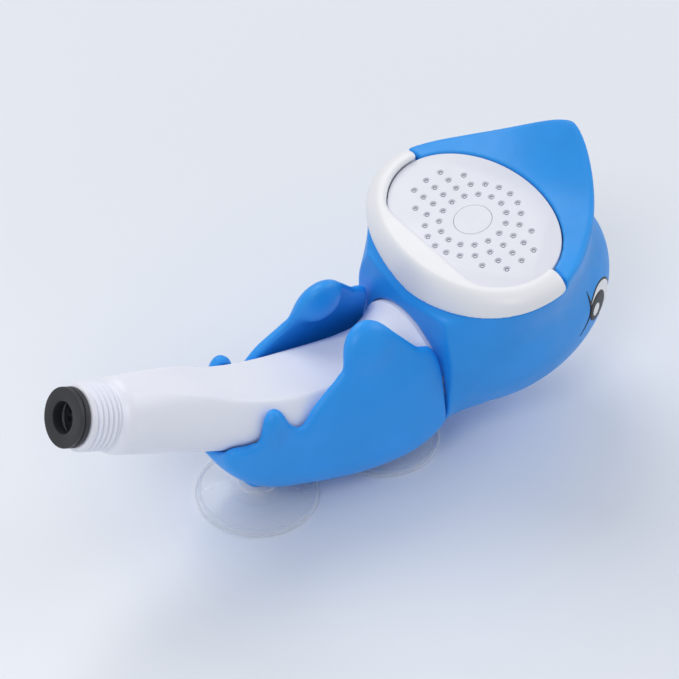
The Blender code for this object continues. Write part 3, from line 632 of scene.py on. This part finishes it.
def head_body(x, y, z):
    """The closed outer form of the head, with places along the face and along the neck."""
    along, height = turn(x, z, FACE, FACE_TILT)
    a, c = turn(x, z, HEAD_CENTRE[::2], BELLY_PITCH)
    belly = ellipsoid(a, y, c, BELLY_SIZES)
    mouth = (mouth_norm(along, y, height) - 1) * MOUTH_SCALE
    mouth = np.maximum(mouth, MOUTH_FLOOR - height)
    body = join(belly, mouth, 7.0)
    into, above = turn(x, z, COLLAR, COLLAR_LEAN)
    ring = np.sqrt(y**2 + above**2)
    neck = np.maximum(ring - COLLAR_RADIUS, into - NECK_DEPTH)
    return join(body, neck, 4.0), along, height, into, ring


def head_field(x, y, z):
    """The hollow head: a visor and a gum round the plate, and a socket at the neck."""
    body, along, height, into, ring = head_body(x, y, z)
    share, far = between(along, y, np.clip(height, -4, 12))
    share = np.clip(share, 0, 1.2)
    visor = VISOR_FOOT + (rim_height(far) - VISOR_FOOT) * share**1.35
    top = np.where(along > VISOR_START, visor, GUM_TOP - gum_drop(far) * share)
    body = cut(body, height - top, 0.7 + 1.2 * np.clip((along - 6) / 14, 0, 1))
    inner = np.maximum(body + HEAD_WALL, height + 5)
    tray = np.maximum((plate_norm(along, y) - 0.985) * 24, np.abs(height + 9.5) - 10.5)
    inner = np.maximum(np.minimum(inner, tray), BULKHEAD - into)
    body = np.maximum(body, -inner)
    seat = np.maximum((plate_norm(along, y) - 1) * 26, np.abs(height) - 3.6)
    body = np.maximum(body, -seat)
    bead = np.sqrt((ring - COLLAR_RADIUS + 0.5) ** 2 + (into - 1.0) ** 2) - 1.0
    body = join(cut(body, -into, 0.6), bead, 0.5)
    body = np.maximum(body, -np.maximum(ring - SPIGOT_ROOM, into - SPIGOT_DEPTH))
    return np.maximum(body, -np.maximum(ring - FLARE_ROOM, into - SOCKET_DEPTH))


def build_head():
    """The blue head. Its surface is returned, to print the eyes on."""
    points, faces = solid(head_field, (56, -44, 5), (140, 44, 106), HEAD_STEP, 5)
    piece("dolphin_head", points, faces, BLUE, "handset",
          ("head_shell", "upper_jaw"))
    return BVHTree.FromPolygons(points.tolist(), faces.tolist())


LIP_GROWTH = 0.3  # how far the lip stands out from the mouth's wall
LIP_CROWN = 2.1
LIP_UNDER = -3.1
LIP_BACK, LIP_END = -17.5, 4.5  # along the face


def lip_field(along, y, height):
    """White lower lip, in the face's own axes: a soft roll that covers the plate's edge."""
    level = np.zeros_like(height)
    outer = (mouth_norm(along, y, level) - 1) * 30
    share, far = between(along, y, level)
    share = np.clip(share, -0.6, 1.2)
    drop = gum_drop(far)
    crown = LIP_CROWN - (3.0 + drop) * np.clip((share - 0.15) / 0.9, 0, 1.2) ** 2.0
    under = LIP_UNDER - drop * np.clip(share, 0, 1)
    over_edge = (plate_norm(along, y) - 0.985) * 25
    over_back = LIP_BACK - along
    keep = join(-over_edge, -over_back, 2.0)
    lip = cut(cut(outer - LIP_GROWTH, height - crown, 2.0), keep, 1.2)
    lip = cut(lip, under - height, 0.5)
    slab = np.maximum((plate_norm(along, y) - 1.01) * 25, height - 0.3)
    lip = np.maximum(lip, -slab)
    return cut(lip, along - LIP_END, 2.2)


def build_lip():
    """The white lower lip."""
    points, faces = solid(lip_field, (-31, -44, -14), (6, 44, 4), LIP_STEP)
    piece("lower_lip", on_face(points), faces, LIP_WHITE, "handset",
          ("lower_jaw",))


# -------------------------------------------------------------- spray plate

NOZZLE_RINGS = (  # radius, nozzles in each group, angle step, centres of the groups
    (11.0, 15, 24.0, (90.0,)),
    (15.6, 20, 18.0, (90.0,)),
    (20.2, 5, 15.07, (90.0, -90.0)),
    (24.8, 3, 12.86, (90.0, -90.0)),
)
DIMPLE, DIMPLE_DEPTH = 1.2, -0.55
NOZZLE_HOLE = 0.75
CAP_RADIUS = 6.25
CAP_SEAT = CAP_RADIUS + 0.13
PLATE_SIDES, SHEET_SIDES, SEAT_SIDES, NOZZLE_SIDES, HOLE_SIDES = 160, 96, 72, 20, 12
# Rounded edge of the plate as (inset, height), a nozzle's tip as (radius, height), and the
# mat's sheet as (share of its size, height)
PLATE_EDGE = ((0.5, -3.2), (0.0, -2.9), (0.0, -0.5), (0.06, -0.25), (0.2, -0.08), (0.45, 0.0))
NOZZLE_TIP = ((0.5, -3.3), (0.64, -3.3), (0.66, -1.2), (0.66, -0.4), (0.62, -0.26),
              (0.52, -0.3))
SHEET_EDGE = ((0.99, -4.9), (1, -4.8), (1, -3.7), (0.99, -3.6))
PLATE_CREASE = 30  # edges sharper than this, in degrees, stay crisp


def nozzle_spots():
    """Middle of each nozzle on the face."""
    for radius, number, step, centres in NOZZLE_RINGS:
        for centre in centres:
            for k in range(number):
                offset = k * step if len(centres) == 1 else (k - (number - 1) / 2) * step
                angle = math.radians(centre + offset)
                yield radius * math.cos(angle), radius * math.sin(angle)


def oval(half_length, half_width, height, sides):
    """A level oval ring on the face."""
    angles = np.arange(sides) * 2 * math.pi / sides
    return np.stack([half_length * np.cos(angles), half_width * np.sin(angles),
                     np.full(sides, float(height))], -1)


def ring_at(x, y, z, radius, sides):
    """A level ring round a place on the face."""
    return oval(radius, radius, z, sides) + np.array([x, y, 0])


def prism_object(name, rows, sides):
    """A cutter for the face, with one closed prism for each pair of rings."""
    mesh = bpy.data.meshes.new(name)
    points = to_world(on_face(np.concatenate(rows)))
    faces = []
    for start in range(0, len(points), 2 * sides):
        faces += [tuple(start + i for i in f) for f in rings_to_faces(2, sides)]
    mesh.from_pydata(points.tolist(), [], faces)
    face_outwards(mesh)
    cutter = bpy.data.objects.new(name, mesh)
    bpy.context.scene.collection.objects.link(cutter)
    return cutter


def apply_cuts(target, cutters):
    """Cuts every cutter out of a piece and removes the cutters."""
    for other in cutters:
        step = target.modifiers.new("cut", "BOOLEAN")
        step.operation = "DIFFERENCE"
        step.solver = "EXACT"
        step.object = other
    evaluated = target.evaluated_get(bpy.context.evaluated_depsgraph_get())
    mesh = bpy.data.meshes.new_from_object(evaluated)
    target.modifiers.clear()
    target.data = mesh
    mesh.shade_smooth()
    mesh.set_sharp_from_angle(angle=math.radians(PLATE_CREASE))
    for other in cutters:
        bpy.data.objects.remove(other, do_unlink=True)


def build_plate():
    """Oval plate with a rounded edge, a dimple at each nozzle and a seat for the cap."""
    rows = [oval(PLATE[0] - inset, PLATE[1] - inset, height, PLATE_SIDES)
            for inset, height in PLATE_EDGE]
    plate = piece("oval_plate", on_face(np.concatenate(rows)),
                  rings_to_faces(len(rows), PLATE_SIDES), PLATE_WHITE, "handset",
                  ("spray_plate",), sharp=PLATE_CREASE)
    dimples, holes = [], []
    for x, y in nozzle_spots():
        dimples += [ring_at(x, y, DIMPLE_DEPTH, DIMPLE * 0.74, NOZZLE_SIDES),
                    ring_at(x, y, 0.2, DIMPLE * 1.08, NOZZLE_SIDES)]
        holes += [ring_at(x, y, -4, NOZZLE_HOLE, HOLE_SIDES),
                  ring_at(x, y, -1.0, NOZZLE_HOLE, HOLE_SIDES)]
    seat = [ring_at(0, 0, height, CAP_SEAT, SEAT_SIDES) for height in (-0.8, 0.5)]
    apply_cuts(plate, (prism_object("plate cutter", dimples, NOZZLE_SIDES),
                       prism_object("cap seat", seat, SEAT_SIDES),
                       prism_object("nozzle bores", holes, HOLE_SIDES)))


def build_nozzles():
    """Silicone mat: a soft tip with a water hole in every dimple, on one thin oval sheet, in
    silicone darkened as painted shade for the holes.
    """
    tip = rounded(NOZZLE_TIP, 0.04, 2)
    points, faces, count = [], [], 0
    for x, y in nozzle_spots():
        more, loops = lathe(tip, count=NOZZLE_SIDES)
        faces += [tuple(count + i for i in loop) for loop in loops]
        points.append(more + np.array([x, y, 0]))
        count += len(more)
    piece("nozzle_tips", on_face(np.concatenate(points)), faces, SILICONE_WITH_PAINTED_SHADE, "handset",
          ("nozzle_mat",))
    sheet = [oval((PLATE[0] - 1) * share, (PLATE[1] - 1) * share, height, SHEET_SIDES)
             for share, height in SHEET_EDGE]
    piece("mat_sheet", on_face(np.concatenate(sheet)), rings_to_faces(len(sheet), SHEET_SIDES),
          SILICONE_WITH_PAINTED_SHADE, "handset")


def build_cap():
    """The round cap in the middle of the plate."""
    profile = rounded([(0.01, -0.5), (CAP_RADIUS, -0.5), (CAP_RADIUS, 0.04),
                       (CAP_RADIUS - 0.3, 0.1), (0.01, 0.1)], 0.12)
    points, faces = lathe(profile)
    piece("cap_disc", on_face(points), faces, PLATE_WHITE, "handset",
          ("centre_cap",))


def build_washer():
    """The hose washer, with a groove round its edge."""
    thick, wide, groove = WASHER_THICKNESS, WASHER_RADIUS, WASHER_RADIUS - 0.55
    profile = rounded([(WASHER_BORE, 0), (wide, 0), (wide, 1.45), (groove, 1.65),
                       (groove, 1.95), (wide, 2.15), (wide, thick), (WASHER_BORE, thick)], 0.3)
    points, faces = lathe(profile, along_inlet)
    piece("hose_washer", points, faces, RUBBER, "handset", ("inlet_washer",))


# --------------------------------------------------------------------- eyes

# Outlines in degrees of azimuth and elevation round the head's centre
EYE_WHITE_EDGE = ((57.0, 8.6), (54.6, 12.4), (51.0, 14.9), (46.6, 15.4), (41.6, 13.6),
                  (37.4, 9.6), (35.2, 4.0), (35.8, -2.4), (39.6, -6.4), (44.0, -5.6),
                  (49.0, -1.0), (54.0, 4.0))
PUPIL_EDGE = ((57.6, 6.4), (56.4, 9.8), (52.0, 12.0), (47.0, 11.4), (43.2, 7.6), (42.0, 1.8),
              (44.4, -2.8), (49.6, -4.4), (54.6, -2.6), (57.4, 1.6))
GLINT_EDGE = tuple((52.0 + 3.1 * math.cos(a), 3.0 + 3.6 * math.sin(a))
                   for a in [k * math.pi / 8 for k in range(16)])
LASH_EDGE = ((60.6, 20.0), (58.9, 16.0), (57.5, 12.0), (56.8, 8.0), (57.2, 4.0), (58.6, 0.4),
             (61.2, -3.2), (64.8, -6.6), (61.6, -2.4), (59.4, 1.2), (58.4, 4.4), (58.2, 8.2),
             (58.8, 12.0), (59.7, 16.0))
PRINT_FOOT = -0.15  # prints start this far under the skin
PRINT_SHARES = (0.97, 0.8, 0.6, 0.4, 0.2, 0.02)  # rings that fill a print, towards its middle
EDGE_GROWTH = 1.0  # degrees
OUTSIDE = 60  # a distance from the head's centre that is outside the head


def smooth_loop(corners, steps=5):
    """A closed smooth outline through its corners."""
    p = np.array(corners, float)
    made = []
    for k in range(len(p)):
        a, b, c, d = p[k - 1], p[k], p[(k + 1) % len(p)], p[(k + 2) % len(p)]
        for t in np.arange(steps) / steps:
            made.append(0.5 * (2 * b + (c - a) * t + (2 * a - 5 * b + 4 * c - d) * t**2
                               + (3 * b - a - 3 * c + d) * t**3))
    return np.array(made)


def on_skin(skin, direction, side, height):
    """A point above the head's skin, in a direction in degrees from the head's centre."""
    azimuth, elevation = np.radians(direction)
    way = Vector((math.cos(azimuth) * math.cos(elevation),
                  side * math.sin(azimuth) * math.cos(elevation), math.sin(elevation)))
    hit, normal, _, _ = skin.ray_cast(Vector(HEAD_CENTRE) + way * OUTSIDE, -way)
    outward = normal if normal.dot(way) > 0 else -normal
    return hit + outward * height


def print_on(name, skin, corners, side, lift, look, grow=0.0):
    """A thin raised print on the head, filled from its outline to its middle."""
    loop = smooth_loop(corners)
    middle = loop.mean(0)
    out = loop - middle
    loop = loop + out / np.linalg.norm(out, axis=1)[:, None] * grow
    rings = [(1.0, PRINT_FOOT), (1.0, lift * 0.7)] + [(share, lift) for share in PRINT_SHARES]
    rows = [np.array([on_skin(skin, spot, side, height)
                      for spot in middle + (loop - middle) * share])
            for share, height in rings]
    piece(name, np.concatenate(rows), rings_to_faces(len(rows), len(loop)), look, "handset")


def strip_print(name, skin, corners, side, lift, look):
    """A narrow curved print: the outline's two long sides, paired across."""
    half = len(corners) // 2
    one = np.array(corners[: half + 1], float)
    other = np.array(corners[half:] + corners[:1], float)[::-1]
    rows = []
    for a, b in zip(one, other):
        section = ((a, PRINT_FOOT), (a, lift), (b, lift), (b, PRINT_FOOT))
        rows.append(np.array([on_skin(skin, spot, side, height) for spot, height in section]))
    piece(name, np.concatenate(rows), rings_to_faces(len(rows), 4), look, "handset")


def build_eyes(skin):
    """Printed eyes, one each side: a white shape with a dark edge, a pupil, a glint, a lash."""
    for name, side in (("near", -1), ("far", 1)):
        print_on(f"{name}_eye_edge", skin, EYE_WHITE_EDGE, side, 0.12, INK, grow=EDGE_GROWTH)
        print_on(f"{name}_eye_white", skin, EYE_WHITE_EDGE, side, 0.2, EYE_WHITE)
        print_on(f"{name}_eye_pupil", skin, PUPIL_EDGE, side, 0.28, INK)
        print_on(f"{name}_eye_glint", skin, GLINT_EDGE, side, 0.36, EYE_WHITE)
        strip_print(f"{name}_eye_lash", skin, LASH_EDGE, side, 0.16, INK)


# ------------------------------------------------------------------- studio

FLOOR_HALF, FLOOR_DROP = 4.0, -0.0002  # metres
FLOOR_TINTS = (0.83, 0.855, 0.905), (0.84, 0.865, 0.915)
SKY_COLOUR, SKY_STRENGTH = (0.93, 0.955, 1.0, 1), 0.5
LAMPS = (  # name, place, target and size in metres, power in watts, colour
    ("key", (-0.1, 1.85, 2.35), (0.02, 0, 0.03), 2.2, 30.0, (1, 0.985, 0.96)),
    ("front", (-2.4, -1.35, 2.85), (0, 0, 0.05), 1.2, 28.0, (0.98, 0.99, 1)),
    ("right", (2.2, -0.5, 1.5), (0, 0, 0.05), 2.0, 15.5, (0.96, 0.98, 1)),
)


def build_stage():
    """A plain pale floor, just under the cups."""
    floor = bpy.data.meshes.new("floor")
    size = FLOOR_HALF
    floor.from_pydata([(-size, -size, 0), (size, -size, 0), (size, size, 0), (-size, size, 0)], [],
                      [(0, 1, 2, 3)])
    plane = bpy.data.objects.new("floor", floor)
    plane.location.z = FLOOR_DROP
    look, tree, shader = nodes_of("studio floor")
    tree.links.new(mix(tree, noise(tree, 3), *FLOOR_TINTS), shader.inputs["Base Color"])
    shader.inputs["Roughness"].default_value = 0.26
    shader.inputs["Specular IOR Level"].default_value = 0.5
    floor.materials.append(look)
    bpy.context.scene.collection.objects.link(plane)


def area_light(name, place, target, size, power, colour):
    """A round area light that faces a target."""
    lamp = bpy.data.lights.new(name, "AREA")
    lamp.shape = "DISK"
    lamp.size = size
    lamp.energy = power
    lamp.color = colour
    made = bpy.data.objects.new(name, lamp)
    made.location = place
    made.rotation_euler = (Vector(target) - Vector(place)).to_track_quat("-Z", "Y").to_euler()
    bpy.context.scene.collection.objects.link(made)


def build_lights():
    """Soft studio light: a pale sky and three large lamps."""
    world = bpy.data.worlds.new("studio")
    world.use_nodes = True
    sky = world.node_tree.nodes["Background"]
    sky.inputs["Color"].default_value = SKY_COLOUR
    sky.inputs["Strength"].default_value = SKY_STRENGTH
    bpy.context.scene.world = world
    for lamp in LAMPS:
        area_light(*lamp)
    bpy.context.scene.view_settings.view_transform = "Standard"


CAMERA_PLACE = (-283.9, -403.8, 498.8)
CAMERA_AZIMUTH, CAMERA_ELEVATION, CAMERA_ROLL = -37.91, 41.085, 3.45
CAMERA_LENS = 112.67


def build_camera():
    """A camera without depth of field, turned by its azimuth, elevation and roll."""
    data = bpy.data.cameras.new("camera")
    data.lens = CAMERA_LENS
    data.sensor_width = 36
    data.clip_start, data.clip_end = 0.05, 20
    made = bpy.data.objects.new("camera", data)
    a, e, roll = map(math.radians, (CAMERA_AZIMUTH, CAMERA_ELEVATION, CAMERA_ROLL))
    back = Vector((math.sin(a) * math.cos(e), -math.cos(a) * math.cos(e), math.sin(e)))
    right = Vector((math.cos(a), math.sin(a), 0))
    up = back.cross(right)
    side = right * math.cos(roll) + up * math.sin(roll)
    top = up * math.cos(roll) - right * math.sin(roll)
    turned = Matrix((side, top, back)).transposed().to_4x4()
    turned.translation = Vector(to_world(CAMERA_PLACE))
    made.matrix_world = turned
    bpy.context.scene.collection.objects.link(made)
    bpy.context.scene.camera = made


# ------------------------------------------------------------------ assembly

CARRIED = {
    "rear_cup_screw": STEEL,
    "front_cup_screw": STEEL,
    "plate_screw": STEEL,
    "inlet_screen": RUBBER,
    "neck_nut": WHITE,
    "neck_seal": RUBBER,
    "chamber_seal": RUBBER,
    "water_chamber": WHITE,
}

build_camera()
build_stage()
build_lights()
build_holder()
build_cups()
build_handle()
build_washer()
head = build_head()
build_lip()
build_plate()
build_nozzles()
build_cap()
build_eyes(head)
for node, look in CARRIED.items():
    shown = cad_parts[node]
    shown.data.materials.clear()
    shown.data.materials.append(look)
